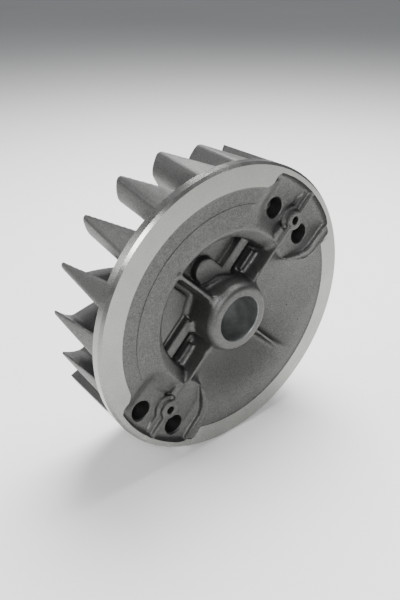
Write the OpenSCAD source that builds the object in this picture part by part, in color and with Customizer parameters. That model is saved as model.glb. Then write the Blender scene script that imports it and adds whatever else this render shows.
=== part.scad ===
// Finned die-cast flywheel of a small two-stroke engine, with its ignition
// magnet pack, counterweight and two recoil-starter pawls.
//
// The modules below work in the wheel's own face frame: z out of the machined
// crankcase face, x towards the counterweight pad, y towards the short rib.
// in_row_frame() then stands the wheel on edge with its axis along Y.

/* [Rim] */
// Outside radius of the rim
rim_r = 49.5; // [48.5:0.1:51]
// Leg of the chamfer on the face edge
rim_chamfer = 0.8; // [0.4:0.1:1.2]
// Thickness of the rim at its outside
rim_t = 3.4; // [3:0.1:4.5]
// Inside radius of the machined ring
ring_inner_r = 41.9; // [41:0.1:43]
// Depth of the as-cast face below the machined ring
cast_step = 0.3; // [0.2:0.05:0.5]

/* [Hub] */
// Outside radius of the hub at its front face
hub_r = 11.2; // [10.5:0.1:12]
// Height of the hub face above the machined ring
hub_rise = 3.4; // [2:0.1:4]
// Radius of the cylindrical mouth of the crank bore
bore_r = 7.85; // [6:0.05:8.5]
// Depth of the cylindrical mouth below the machined ring
bore_mouth_depth = 7; // [5:0.5:9]
// Radius of the crank taper at its small end
taper_end_r = 6.7; // [5.5:0.05:6.9]
// Distance of the hub's rear face behind the machined ring
hub_back = 19; // [18:0.5:20]

/* [Front face] */
// Depth of the bowl on the plain side, next to the hub
bowl_depth = 10; // [9:0.5:11]
// Depth of the cored recess on the ribbed side
recess_depth = 7.6; // [7:0.2:8.6]
// Radius of the recess at its mouth
recess_r = 28.6; // [27:0.1:29]
// Half width of a rib along its top
rib_half_w = 0.9; // [0.7:0.1:1.2]
// Depth of the pad floors below the machined ring
pad_depth = 2.8; // [2.2:0.1:3.2]
// Radius of each pad's outer wall
pad_wall_r = 47.2; // [46.8:0.1:47.6]

/* [Pad holes] */
// Radius of the four cored holes
cored_r = 3.45; // [3:0.05:3.7]
// Distance of a cored hole from the rib line
cored_y = 8.7; // [8:0.1:9.5]
// Distance of the counterweight pad's cored holes from the axis
cored_x_weight = 35.3; // [34:0.1:36.5]
// Distance of the magnet pad's cored holes from the axis
cored_x_magnet = 41.2; // [40:0.1:42]
// Radius of the small drilled hole on each rib line
pilot_r = 1.35; // [1:0.05:1.6]
// Distance of the small hole from the axis
pilot_x = 36.7; // [36:0.1:37.5]
// Offset of the small hole from the rib's centre line
pilot_y = -0.7; // [-1:0.1:0]

/* [Fan] */
// Radius of the blade tips
blade_tip_r = 48.5; // [47:0.1:49]
// Radius of the fan's eye
eye_r = 28.5; // [28:0.1:30]
// Distance of the blades' free edges behind the machined ring
fan_depth = 29.5; // [27:0.5:31]
// Angle from one blade to the next
blade_pitch = 18.947; // [18:0.001:19.5]
// Blades in each of the two rows
blades_per_side = 7; // [5:1:7]
// Thickness of a blade at its free edge
blade_edge_t = 1.2; // [1:0.1:1.6]
// Extra half thickness of a blade at the rim, from its draft
blade_draft = 2.6; // [1.5:0.1:3]
// Half angle of the two solid blocks in the fan
block_half_angle = 22; // [20:0.5:23]

/* [Magnet pack] */
// Inside radius of the pole shoes
shoe_inner_r = 38; // [37:0.1:39]
// Half angle of the gap between the pole shoes
shoe_start_angle = 5; // [4:0.5:6]
// Angle from the pack's middle to a pole shoe's far side
shoe_end_angle = 17; // [16.5:0.5:18]
// Thickness of one lamination
lamination_t = 1; // [0.8:0.1:1.2]
// Laminations in each pole shoe
laminations = 14; // [10:1:14]
// Distance of the pack's front behind the machined ring
pack_front = 11; // [10:0.5:12]

/* [Starter pawls] */
// Distance of a pawl's pivot from the wheel's axis
pawl_pivot_r = 21; // [20.5:0.1:21.5]
// Distance of a pawl's front face behind the machined ring
pawl_front = 20.2; // [20.2:0.1:21]
// Thickness of a pawl
pawl_t = 3; // [2.5:0.1:3.2]
// Outside radius of the bush that a pawl turns on
bush_r = 2.9; // [2.7:0.05:3]
// Radial running clearance of a pawl on its bush
pawl_clearance = 0.06; // [0.03:0.01:0.09]

/* [Hidden] */

$fn = 96;
far = 200;                  // bigger than the wheel, for cutting tools
lap = 0.5;                  // overlap of shapes that are joined
weight_side = 0;            // direction of the counterweight block
magnet_side = 180;          // direction of the magnet block

// Rear of the disc as [radius, z], from the rim to the hub
web_back = [[rim_r, -rim_t], [46, -3.9], [40, -6.4], [34, -10.6],
            [29, -14], [24, -15.6], [17, -16]];
web_back_z = -16;           // rear of the disc next to the hub
root_z = -bowl_depth - lap; // how deep the ribs and the hub fillet reach into the disc

block_inner_r = 31;
block_outer_r = rim_r - 0.1;
block_back = fan_depth - 0.3;
block_corner = 2;

pack_back = pack_front + laminations * lamination_t;
shoe_outer_r = block_outer_r;
rivet_r = 1.6;
rivet_head_r = 2.6;
rivet_head_t = 0.9;

key_w = 3;                  // cast key in the crank taper
key_h = 1.9;

boss_place = [6.4, 16.3];   // boss in the recess, right of the short rib
bar_h = 3.5;                // widths of the thick and the thin bars
thin_bar_h = 2;

weight_inner_r = 33;
weight_outer_r = 45.5;
weight_half_angle = 17;
weight_front = 9;
weight_back = 24;

boss_top = 16.8;            // top of a pawl boss, behind the ring
boss_r = 5.6;
spring_wire_r = 0.4;
spring_coil_r = 3.75;
spring_gap = 0.1;           // between neighbouring turns
washer_t = 0.6;
washer_r = 4.6;
bush_t = pawl_front + pawl_t - boss_top + 0.2;
screw_r = 1.6;
screw_head_r = 4;
screw_head_t = 1.6;
screw_back = boss_top + bush_t + washer_t;
thread_l = 4.5;
pawl_hole_r = bush_r + pawl_clearance;
pawl_rest_angle = 207.3;    // direction of a pawl's arm at rest
pawl_turns = [0, 180];
post_r = 1.5;
post_place = [-3.93, 13.2, 0];

lead_peak_r = 42;           // radius where a blade bulges most
lead_peak = 4.8;            // degrees that it leads its tip there
lead_fall = 0.5;            // degrees per millimetre towards the eye
blade_steps = 11;
// Rounding of a blade's free edge: [distance from the edge, how much shorter
// the blade is there, share of its full thickness]
tip_levels = [[0, 1.3, 0.6], [0.4, 0.5, 0.92], [1.2, 0.1, 1], [3, 0, 1]];
foot_lap = 0.1;             // how far a blade's foot reaches into the disc
deg = 180 / PI;
lamination_gap = 0.02;
spring_start = 321.3;       // direction of the coil's first point
spring_turn = 876;          // degrees of wire in the coil
coil_steps = 46;
spring_leg_1 = 9.2;
spring_leg_2 = 10;
spring_hook = 2.7;

steel = "slategray";
bright_steel = "silver";
cast_aluminium = "darkgray";

// ---------------------------------------------------------------- helpers

// Stands the wheel on edge: face z becomes -Y, and the direction halfway
// between face x and face y becomes +Z.
module in_row_frame() {
    rotate([90, 0, 0]) rotate([0, 0, 45]) children();
}

// Ring sector between two radii and two z values, centred on direction 0
module sector(r_in, r_out, z_low, z_high, half_angle) {
    rotate([0, 0, -half_angle])
        rotate_extrude(angle = 2 * half_angle)
            translate([r_in, z_low]) square([r_out - r_in, z_high - z_low]);
}

// Plate of an outline between two z values
module plate(z_low, z_high) {
    translate([0, 0, z_low]) linear_extrude(z_high - z_low) children();
}

module at_pair(x, y) {
    for (side = [-1, 1]) translate([x, side * y, 0]) children();
}

module pin(r, z_low, z_high) {
    translate([0, 0, z_low]) cylinder(r = r, h = z_high - z_low);
}

// ---------------------------------------------------------- wheel casting

// Depth of the plain side's bowl at a radius
function bowl_z(r) =
    let (s = (ring_inner_r - r) / (ring_inner_r - hub_r))
    -cast_step - (bowl_depth - cast_step) * (1 - cos(180 * s)) / 2;

module disc() {
    rotate_extrude()
        polygon(concat([[0, web_back_z]],
                       [for (i = [len(web_back) - 1 : -1 : 0]) web_back[i]],
                       [[rim_r, -rim_chamfer], [rim_r - rim_chamfer, 0],
                        [ring_inner_r, 0], [ring_inner_r, -cast_step],
                        [0, -cast_step]]));
}

// Bowl on the plain side, between the two pads
module bowl_cut() {
    rotate([0, 0, 180])
        rotate_extrude(angle = 180)
            polygon(concat([for (r = [ring_inner_r : -2.4 : hub_r + 1]) [r, bowl_z(r)]],
                           [[0, -bowl_depth], [0, 1], [ring_inner_r, 1]]));
}

// Outline of a pad on the plain side, with its raised lip
module pad_outline() {
    polygon([[24.6, 2], [24.6, -8.8], [26.9, -12], [30.4, -16.5], [34.3, -18],
             [41.5, -19], [47, -19], [47, 2]]);
}

// Floor of a pad on the plain side, inside its lip
module pad_floor_plain() {
    intersection() {
        polygon([[22, 0.5], [22, -7.5], [25.6, -8.2], [28.3, -10.8], [31, -13.2],
                 [33.8, -14.6], [50, -15.6], [50, 0.5]]);
        circle(r = pad_wall_r);
    }
}

// Floor of a pad on the ribbed side, up to the ring and the cast face
module pad_floor_ribbed() {
    intersection() {
        polygon([[31.6, -0.5], [31.6, 12], [34, 16], [38.5, 18], [50, 18], [50, -0.5]]);
        circle(r = pad_wall_r);
    }
}

// Ramp from the cast face down to the pad floor on the ribbed side
module pad_ramp() {
    translate([0, 12, 0]) rotate([90, 0, 0]) linear_extrude(12.5)
        polygon([[26.5, -cast_step], [31.8, -pad_depth], [31.8, 1], [26.5, 1]]);
}

// Recess on the ribbed side, with a wide shoulder round its mouth
module recess_cut() {
    intersection() {
        translate([0, 1.4, 0])
            rotate_extrude()
                polygon([[0, -recess_depth], [recess_r - 5, -recess_depth],
                         [recess_r - 3.8, -recess_depth + 1], [recess_r - 2.2, -4.2],
                         [recess_r - 1, -1.8], [recess_r + 0.3, -cast_step],
                         [recess_r + 1.3, 1], [0, 1]]);
        translate([-far / 2, 0, -far / 2]) cube(far);
    }
}

// Bars, steps and boss left standing in one quarter of the recess
module recess_details_right() {
    plate(-recess_depth - lap, -4.9) {
        translate(boss_place) circle(r = 4.1);
        translate([3, 11]) square([7.4, 5.4]);
        translate([8.4, 7.6]) square([16, bar_h]);
    }
    plate(-recess_depth - lap, -5.5) translate([13.8, 1.2]) square([7.4, thin_bar_h]);
    plate(-recess_depth - lap, -4.4)
        polygon([[0, 6], [0, 17], [1.5, 15.9], [3.4, 14.2], [7.3, 11.9], [8.2, 10.8],
                 [9.8, 7.4], [10.8, 5.9], [11.6, 4]]);
}

module recess_details_left() {
    plate(-recess_depth - lap, -4.9)
        polygon([[-25, 7.6], [-12.2, 7.6], [-11, 5.6], [-9.6, 8], [-9.2, 11.1], [-25, 11.1]]);
    plate(-recess_depth - lap, -5.6) translate([-22.6, 1.2]) square([7.2, thin_bar_h]);
    plate(-recess_depth - lap, -5.7)
        polygon([[-27, 13.7], [-8.4, 13.8], [-3.3, 16.6], [-3.3, 29], [-27, 29]]);
}

// Deeper pocket between the two bars of each quarter
module bar_slots() {
    for (x = [12.4, -21.8])
        plate(-recess_depth - 1, 0) translate([x, 3.6]) square([9.4, 3.6]);
}

// Concave fillets where a rib along x meets the hub
module rib_flare() {
    fillet_r = 5;
    centre_y = rib_half_w + fillet_r;
    centre_x = sqrt(pow(hub_r + fillet_r, 2) - pow(centre_y, 2));
    intersection() {
        plate(root_z + 0.3, hub_rise)
            for (side = [0, 1]) mirror([0, side, 0])
                difference() {
                    polygon([[0, 0], [centre_x, 0], [centre_x, centre_y]]);
                    translate([centre_x, centre_y]) circle(r = fillet_r);
                }
        rotate_extrude()
            polygon([[0, root_z - lap], [22, root_z - lap], [22, 0.2], [16, 0.2],
                     [13.2, 0.8], [11.6, hub_rise - 1.6], [10, hub_rise - 0.4],
                     [0, hub_rise - 0.4]]);
    }
}

// Rib along x from the hub, with a wider foot
module rib(length, foot_half_w) {
    plate(root_z, 0) translate([0, -rib_half_w]) square([length, 2 * rib_half_w]);
    plate(root_z + 0.1, -3.2) translate([0, -foot_half_w]) square([length, 2 * foot_half_w]);
}

// Short rib that fades into the bowl
module fading_rib() {
    rotate([0, 0, -90]) rotate([90, 0, 0])
        translate([0, 0, -rib_half_w]) linear_extrude(2 * rib_half_w)
            polygon([[0, -bowl_depth - 1], [0, -3], [14, -3], [32, -2.6], [33, -6]]);
    rotate([0, 0, -90]) rib_flare_low();
}

module rib_flare_low() {
    intersection() {
        rib_flare();
        plate(-far, -3.4) circle(r = 30);
    }
}

module hub() {
    rotate_extrude()
        polygon([[0, -hub_back], [hub_r - 0.8, -hub_back], [hub_r, -hub_back + 0.8],
                 [hub_r, web_back_z - lap], [hub_r + 1.2, web_back_z - lap],
                 [hub_r + 2.8, web_back_z + lap], [hub_r + 2.8, root_z + 0.2],
                 [hub_r + 1.4, -bowl_depth + 1.6], [hub_r + 0.3, -4],
                 [hub_r, hub_rise - 1.6], [hub_r - 0.4, hub_rise - 0.6],
                 [hub_r - 1.1, hub_rise], [0, hub_rise]]);
}

// Ridge along x that the pad floors leave standing: the rib, the boss of the
// small hole, and the stepped rib out to the rim
module pad_ridge() {
    plate(-far, far) translate([20, -rib_half_w]) square([14, 2 * rib_half_w]);
    plate(-far, far) translate([pilot_x, pilot_y]) circle(r = 3.4);
    plate(-far, -1) translate([27.4, 0]) square([4.6, 4]);
    plate(-far, -cast_step) translate([pilot_x, -rib_half_w]) square([20, 2 * rib_half_w]);
    plate(-far, -1.6) translate([pilot_x, -rib_half_w - 1.2]) square([20, 2 * rib_half_w + 3.6]);
}

module pad_floor_cut() {
    difference() {
        union() {
            plate(-pad_depth, 1) {
                pad_floor_plain();
                pad_floor_ribbed();
            }
            pad_ramp();
        }
        pad_ridge();
    }
}

module pad_holes(cored_x, cored_depth) {
    at_pair(cored_x, cored_y) pin(cored_r, -cored_depth, 1);
    translate([pilot_x, pilot_y, 0]) pin(pilot_r, -9, 1);
}

// Solid block that fills the fan behind a pad
module block() {
    rotate([0, 0, -block_half_angle])
        rotate_extrude(angle = 2 * block_half_angle)
            polygon([[block_inner_r + 1, -9], [block_inner_r, -block_back],
                     [block_outer_r - block_corner, -block_back],
                     [block_outer_r, -block_back + block_corner],
                     [block_outer_r, -rim_t + 0.2], [44, -rim_t + 0.2]]);
}

// Crank bore: a cylindrical mouth, then a taper with a cast key in it
module crank_bore() {
    pin(bore_r, -bore_mouth_depth, hub_rise + 1);
    difference() {
        translate([0, 0, -hub_back - 1])
            cylinder(r1 = taper_end_r, r2 = bore_r, h = hub_back + 1 - bore_mouth_depth);
        plate(-hub_back + 0.5, -bore_mouth_depth - 1)
            translate([-key_w / 2, bore_r - key_h]) square([key_w, key_h + lap]);
    }
    translate([0, 0, hub_rise - 0.5]) cylinder(r1 = bore_r, r2 = bore_r + 1, h = 1);
}

// Raised seat for a pawl's bush, and the post that the pawl rests against
module pawl_seat() {
    translate([0, pawl_pivot_r, 0]) pin(boss_r, -boss_top, web_back_z + 1.5);
    translate(post_place) pin(post_r, -pawl_front - pawl_t, web_back_z + 1.5);
}

module wheel_casting() {
    color(cast_aluminium) in_row_frame() difference() {
        union() {
            difference() {
                union() {
                    disc();
                    for (turn = [weight_side, magnet_side]) rotate([0, 0, turn]) block();
                }
                difference() {
                    bowl_cut();
                    for (side = [0, 1]) mirror([side, 0, 0]) plate(-far, far) pad_outline();
                }
                recess_cut();
            }
            intersection() {
                union() {
                    recess_details_right();
                    recess_details_left();
                }
                translate([0, 0, -recess_depth - 1]) cylinder(r1 = 26.2, r2 = 29, h = recess_depth);
            }
            hub();
            for (side = [0, 1]) mirror([side, 0, 0]) rib(34, 1.5);
            rotate([0, 0, 90]) rib(29, 1.6);
            for (turn = [0, 90, 180]) rotate([0, 0, turn]) rib_flare();
            fading_rib();
            for (turn = pawl_turns) rotate([0, 0, turn]) pawl_seat();
        }
        for (side = [0, 1]) mirror([side, 0, 0]) pad_floor_cut();
        bar_slots();
        pad_holes(cored_x_weight, weight_front + lap);
        mirror([1, 0, 0]) pad_holes(cored_x_magnet, pack_front + lap);
        crank_bore();
        weight_shape();
        pack_pocket();
        for (side = [-1, 1]) rivet(side);
        for (turn = pawl_turns) rotate([0, 0, turn]) screw_thread();
    }
}

// ------------------------------------------------------------- fan blades

// Angle by which a blade leads its tip at a radius
function blade_lead(r) =
    r > lead_peak_r
        ? lead_peak * (1 - pow((r - lead_peak_r) / (blade_tip_r - lead_peak_r), 1.5))
        : lead_peak + 0.5 - lead_fall * sqrt(pow(lead_peak_r - r, 2) + 1);

// Half thickness of a blade at a radius, rounded at both ends
function blade_half_t(r, r_end, full) =
    let (from_end = min(r_end - r, r - eye_r))
    full * (from_end < full ? sqrt(max(0.02, 1 - pow(1 - from_end / full, 2))) : 1);

// Rear of the disc at a radius
function web_z(r) = lookup(r, [for (i = [len(web_back) - 1 : -1 : 0]) web_back[i]]);

// Height of a point of a blade's foot, which is cast into the disc
function foot_z(r) = web_z(r) + foot_lap;

// Half thickness of a blade at a z: the draft widens it towards the disc
function draft_half_t(z) =
    blade_edge_t / 2 + blade_draft * (fan_depth + z) / (fan_depth - rim_t);
function foot_half_t(r) = draft_half_t(web_z(r));

function polar(r, a, z) = [r * cos(a), r * sin(a), z];

// Radii at which a blade's outline has points, for a blade that ends at r_end
function blade_radii(r_end) =
    [for (i = [0 : blade_steps]) eye_r + (r_end - eye_r) * (1 - pow(1 - i / blade_steps, 1.25))];

// Closed ring of points round a blade: one side out, the other side back
function blade_ring(r_end, half_t, z) =
    let (rows = blade_radii(r_end))
    concat([for (r = rows)
                polar(r, blade_lead(r) + blade_half_t(r, r_end, half_t) / r * deg, z)],
           [for (i = [blade_steps : -1 : 0]) let (r = rows[i])
                polar(r, blade_lead(r) - blade_half_t(r, r_end, half_t) / r * deg, z)]);

function blade_foot(r_end) =
    let (rows = blade_radii(r_end))
    concat([for (r = rows)
                polar(r, blade_lead(r) + blade_half_t(r, r_end, foot_half_t(r)) / r * deg, foot_z(r))],
           [for (i = [blade_steps : -1 : 0]) let (r = rows[i])
                polar(r, blade_lead(r) - blade_half_t(r, r_end, foot_half_t(r)) / r * deg,
                      foot_z(r))]);

// Skin over a stack of rings that all have the same, even number of points.
// Each end is closed by strips between the first and second half of its ring.
module skin(rings) {
    n = len(rings[0]);
    last = len(rings) - 1;
    top = last * n;
    polyhedron(points = [for (ring = rings) each ring],
               faces = concat([for (i = [0 : n / 2 - 2]) [n - 1 - i, n - 2 - i, i + 1, i]],
                              [for (k = [0 : last - 1], i = [0 : n - 1])
                                  [k * n + i, k * n + (i + 1) % n,
                                   (k + 1) * n + (i + 1) % n, (k + 1) * n + i]],
                              [for (i = [0 : n / 2 - 2])
                                  [top + i, top + i + 1, top + n - 2 - i, top + n - 1 - i]]),
               convexity = 6);
}

module blade() {
    skin(concat([for (level = tip_levels)
                     let (z = -fan_depth + level[0])
                     blade_ring(blade_tip_r - level[1], level[2] * draft_half_t(z), z)],
                [blade_foot(blade_tip_r + 0.3)]));
}

module fan_blades() {
    color(cast_aluminium) in_row_frame()
        for (middle = [90, 270], i = [0 : blades_per_side - 1])
            rotate([0, 0, middle + (i - (blades_per_side - 1) / 2) * blade_pitch]) blade();
}

// ------------------------------------------- counterweight and magnet pack

module weight_shape() {
    rotate([0, 0, weight_side])
        sector(weight_inner_r, weight_outer_r, -weight_back, -weight_front, weight_half_angle);
}

// Pocket in the casting for the whole magnet pack, open at the outside
module pack_pocket() {
    rotate([0, 0, magnet_side])
        sector(shoe_inner_r, rim_r + 1, -pack_back, -pack_front, shoe_end_angle);
}

// Space of one pole shoe, on the side of the pack given as -1 or 1
module pole_shoe_shape(side, z_low = -pack_back, z_high = -pack_front) {
    middle = (shoe_start_angle + shoe_end_angle) / 2;
    rotate([0, 0, magnet_side - side * middle])
        sector(shoe_inner_r, shoe_outer_r, z_low, z_high, (shoe_end_angle - shoe_start_angle) / 2);
}

// Rivet through one pole shoe, in line with its cored hole
module rivet(side) {
    translate([-cored_x_magnet, side * cored_y, 0]) {
        pin(rivet_r, -pack_back - rivet_head_t, -pack_front + rivet_head_t);
        pin(rivet_head_r, -pack_back - rivet_head_t, -pack_back);
        pin(rivet_head_r, -pack_front, -pack_front + rivet_head_t);
    }
}

module pole_shoe(side) {
    color(steel) in_row_frame() difference() {
        for (i = [0 : laminations - 1])
            pole_shoe_shape(side, -pack_front - (i + 1) * lamination_t + lamination_gap,
                            -pack_front - i * lamination_t);
        rivet(side);
    }
}

module counterweight() {
    color(steel) in_row_frame() weight_shape();
}

module ignition_magnet() {
    color("dimgray") in_row_frame() rotate([0, 0, magnet_side])
        sector(shoe_inner_r, shoe_outer_r, -pack_back, -pack_front, shoe_start_angle);
}

module leading_pole_shoe() {
    pole_shoe(1);
}

module trailing_pole_shoe() {
    pole_shoe(-1);
}

module pole_shoe_rivets() {
    color(bright_steel) in_row_frame() for (side = [-1, 1]) rivet(side);
}

// ---------------------------------------------------------- starter pawls

// Places a piece of a pawl set on its pivot, for the set at the given turn
module at_pivot(turn) {
    in_row_frame() rotate([0, 0, turn]) translate([0, pawl_pivot_r, 0]) children();
}

// Pawl, with its arm along x before it is turned to rest
module starter_pawl(turn) {
    back = -pawl_front - pawl_t;
    color(steel) at_pivot(turn) rotate([0, 0, pawl_rest_angle]) difference() {
        union() {
            pin(4.6, back, -pawl_front);
            plate(back, -pawl_front)
                polygon([[-1, 4.4], [6, 3.4], [11.5, 2.6], [13.6, 3.6], [15, 6.2], [16.8, 6.6],
                         [18, 3.4], [18.2, 0.6], [16.8, -1.8], [12, -3], [6, -3.9], [-1, -4.4]]);
        }
        pin(pawl_hole_r, -far, far);
    }
}

module pawl_bush(turn) {
    color(bright_steel) at_pivot(turn) difference() {
        pin(bush_r, -boss_top - bush_t, -boss_top);
        pin(screw_r, -far, far);
    }
}

module pawl_washer(turn) {
    color(bright_steel) at_pivot(turn) difference() {
        pin(washer_r, -screw_back, -screw_back + washer_t);
        pin(screw_r, -far, far);
    }
}

// Threaded part of a pawl screw, in the casting
module screw_thread() {
    translate([0, pawl_pivot_r, 0]) pin(screw_r, -boss_top - lap, -boss_top + thread_l);
}

// Button-head screw with a hexagon socket
module pawl_screw(turn) {
    color(bright_steel) at_pivot(turn) difference() {
        union() {
            pin(screw_r, -screw_back, -boss_top + thread_l);
            pin(screw_head_r, -screw_back - screw_head_t + 0.6, -screw_back);
            translate([0, 0, -screw_back - screw_head_t])
                cylinder(r1 = screw_head_r - 1, r2 = screw_head_r, h = 0.6);
        }
        translate([0, 0, -screw_back - screw_head_t - 1]) cylinder(r = 1.5, h = 2.2, $fn = 6);
    }
}

// Ring of points round a wire, square to its path. The heading is the level
// direction that the wire follows, or last followed.
function wire_ring(at, along, heading, r, sides) =
    let (u = [-sin(heading), cos(heading), 0],
         v = cross(along, u))
    [for (i = [0 : sides - 1]) at + r * (cos(360 * i / sides) * u + sin(360 * i / sides) * v)];

// Wire swept along a path of [point, heading] pairs
module wire(path, r, sides) {
    last = len(path) - 1;
    skin([for (i = [0 : last])
              let (step = path[min(i + 1, last)][0] - path[max(i - 1, 0)][0])
              wire_ring(path[i][0], step / norm(step), path[i][1], r, sides)]);
}

function coil_point(a) =
    polar(spring_coil_r, spring_start + a,
          -boss_top - spring_wire_r - 0.1 - (2 * spring_wire_r + spring_gap) * a / 360);
function coil_heading(a) = spring_start + a + 90;
function level_step(heading, length) = polar(length, heading, 0);

// Torsion spring: one leg against the post, the coil round the bush, and one
// leg beside the pawl, whose end hooks over the pawl's outer edge
function spring_path() =
    let (first = coil_heading(0),
         last = coil_heading(spring_turn),
         corner = coil_point(spring_turn) + level_step(last, spring_leg_2))
    concat([[coil_point(0) - level_step(first, spring_leg_1), first]],
           [for (i = [0 : coil_steps])
               let (a = spring_turn * i / coil_steps) [coil_point(a), coil_heading(a)]],
           [[corner, last], [corner - [0, 0, spring_hook], last]]);

module pawl_spring(turn) {
    color(bright_steel) at_pivot(turn) wire(spring_path(), spring_wire_r, 6);
}

module starter_pawl_a() { starter_pawl(pawl_turns[0]); }
module starter_pawl_b() { starter_pawl(pawl_turns[1]); }
module pawl_spring_a() { pawl_spring(pawl_turns[0]); }
module pawl_spring_b() { pawl_spring(pawl_turns[1]); }
module pawl_bush_a() { pawl_bush(pawl_turns[0]); }
module pawl_bush_b() { pawl_bush(pawl_turns[1]); }
module pawl_washer_a() { pawl_washer(pawl_turns[0]); }
module pawl_washer_b() { pawl_washer(pawl_turns[1]); }
module pawl_screw_a() { pawl_screw(pawl_turns[0]); }
module pawl_screw_b() { pawl_screw(pawl_turns[1]); }

wheel_casting();
fan_blades();
counterweight();
ignition_magnet();
leading_pole_shoe();
trailing_pole_shoe();
pole_shoe_rivets();
starter_pawl_a();
starter_pawl_b();
pawl_spring_a();
pawl_spring_b();
pawl_bush_a();
pawl_bush_b();
pawl_washer_a();
pawl_washer_b();
pawl_screw_a();
pawl_screw_b();
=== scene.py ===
"""Looks of the small-engine flywheel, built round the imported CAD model.

The casting is carved on a voxel grid as a distance field, so that every corner
has a cast fillet, and is then machined with exact cutters: rim, ring face,
bore, holes and pocket. All shapes below are in the wheel's own face frame, in
millimetres: z out of the machined face, x towards the counterweight pad and y
towards the short rib. to_row() turns them into the row frame, in metres.
"""

import math

import bmesh
import bpy
import numpy as np
import openvdb
from mathutils import Euler, Matrix, Vector


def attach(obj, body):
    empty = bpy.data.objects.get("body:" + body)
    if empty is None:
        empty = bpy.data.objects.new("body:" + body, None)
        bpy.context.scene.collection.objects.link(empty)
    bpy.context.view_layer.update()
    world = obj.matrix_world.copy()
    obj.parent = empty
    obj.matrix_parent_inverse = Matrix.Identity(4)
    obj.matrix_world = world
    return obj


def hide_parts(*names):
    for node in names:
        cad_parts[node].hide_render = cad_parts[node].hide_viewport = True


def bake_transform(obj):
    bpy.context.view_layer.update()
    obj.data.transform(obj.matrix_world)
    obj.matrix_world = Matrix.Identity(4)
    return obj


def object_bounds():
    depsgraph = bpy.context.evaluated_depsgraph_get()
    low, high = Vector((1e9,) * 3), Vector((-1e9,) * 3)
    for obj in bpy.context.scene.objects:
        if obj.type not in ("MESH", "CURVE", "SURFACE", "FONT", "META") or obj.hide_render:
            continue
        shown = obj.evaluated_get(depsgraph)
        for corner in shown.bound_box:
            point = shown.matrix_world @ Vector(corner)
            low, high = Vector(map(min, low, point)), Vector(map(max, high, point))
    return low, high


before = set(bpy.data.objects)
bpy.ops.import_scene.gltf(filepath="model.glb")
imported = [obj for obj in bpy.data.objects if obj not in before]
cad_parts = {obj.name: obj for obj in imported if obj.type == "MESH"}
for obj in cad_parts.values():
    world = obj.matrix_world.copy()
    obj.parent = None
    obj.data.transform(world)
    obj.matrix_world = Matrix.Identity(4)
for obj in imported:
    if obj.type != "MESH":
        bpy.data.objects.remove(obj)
CAD_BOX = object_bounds()

MM = 0.001
HALF = math.sqrt(0.5)

# ---------------------------------------------------------------- the wheel
RIM_R = 49.49
RIM_CHAMFER = 0.8
RIM_T = 3.4
RIM_TURNED = 6.2               # how far back the rim's side is turned
RING_INNER_R = 41.9
RING_STEP_SLOPE = 1.2
FACED_FROM_R = 41.2            # the facing tool starts inside the ring
RIBBED_FACE_R = 31.5           # outside it the ribbed half is flat
CAST_FACE = -0.3
STOCK = 0.6                    # cast metal left for machining

HUB_R = 11.2
HUB_RISE = 3.4
HUB_BACK = 19.0
HUB_FACING_R = 13.0
BORE_R = 7.85
BORE_MOUTH = 7.0
TAPER_END_R = 6.7
KEY_WIDTH = 3.0
KEY_HEIGHT = 2.6
KEY_LENGTH = 10.0
KEY_MIDDLE = -13.5             # z of the key's middle
FLARE_R = 16.0                 # how far the hub's foot spreads along the ribs
FLARE_TOP = [(11, 1.0), (13, 0.3), (15.5, -0.2)]     # radius, z
RIB_TOP = -0.05
RIB_TOP_HALF = 0.5
LONG_RIB_END = 33.6
SHORT_RIB_END = 30.0
LOW_RIB_END = 36.0
LOW_RIB_X = 0.4
LOW_RIB_TOP = [(12, -3.0), (35, -1.9)]               # distance from the axis, z

BOWL_DEPTH = 10.0
RECESS_DEPTH = 7.6
PAD_DEPTH = 2.8
PAD_FLOOR_R = 46.3             # its wall leans out to 47.3 at the ring
PAD_LIP_FOOT = 1.7             # depth of the floor beside the lip
PAD_RISE = [(12.4, -PAD_DEPTH), (15, -PAD_LIP_FOOT)]  # the plain floor: -y, z
PAD_RAMP_START = 24.6          # where the ribbed floor begins to fall
PAD_RAMP = 9.5
PAD_POCKET = (32.2, 34.6, -0.7, 3.4)                 # x from, x to, y from, y to
PAD_LEDGE = (27.0, 32.0, -0.7, 3.3)
PAD_STEP = (37.0, 48.5, -2.6, 2.1)
PAD_RIB_END = (40.0, 48.5, -1.3, 0.0)
PAD_LEDGE_TOP = -0.6
PAD_STEP_TOP = -1.7
PAD_RIB_END_TOP = -0.3
LIP_TOP = [(25, -2.0), (29, -0.6), (34, -0.15), (41.5, -0.05)]   # x, z
LIP_FALL = 0.4                 # how far the lip lies below its two crests
CREST_INSET = 0.45
CREST_HALF = 0.3
CREST_START = 25.8             # x from which the lip has crests

CORED_R = 3.45
CORED_Y = 8.7
CORED_X = {1: 35.3, -1: 41.2}  # counterweight pad, magnet pad
CORED_DEPTH = {1: 8.5, -1: 10.6}
PILOT_R = 1.35
PILOT_DEPTH = 9.0
PILOT_PLACE = (36.7, -0.7)
PILOT_BOSS_R = 3.3
PILOT_BOSS_TOP = -0.35
PILOT_COLLAR_R = 4.8           # the lower half ring round the boss

BLADE_TIP_R = 48.5
EYE_R = 28.5
FAN_DEPTH = 29.5
BLADE_PITCH = math.radians(18.947)
BLADES_PER_SIDE = 7
BLADE_EDGE_HALF = 0.6
BLADE_CORNER = 1.2             # radius of a tip's corner
BLADE_DRAFT = 2.6
LEAD_PEAK_R = 42.0
LEAD_PEAK = 4.8
LEAD_FALL = 0.5

BLOCK_HALF_ANGLE = math.radians(22)
BLOCK_INNER_R = 31.0
BLOCK_R = 49.4
BLOCK_BACK = 29.2
PACK_INNER_R = 38.0
PACK_HALF_ANGLE = math.radians(17)
PACK_FRONT = 11.0
PACK_BACK = 25.0
RIVET_HEAD_R = 2.65
RIVET_HEAD_T = 0.95

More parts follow.
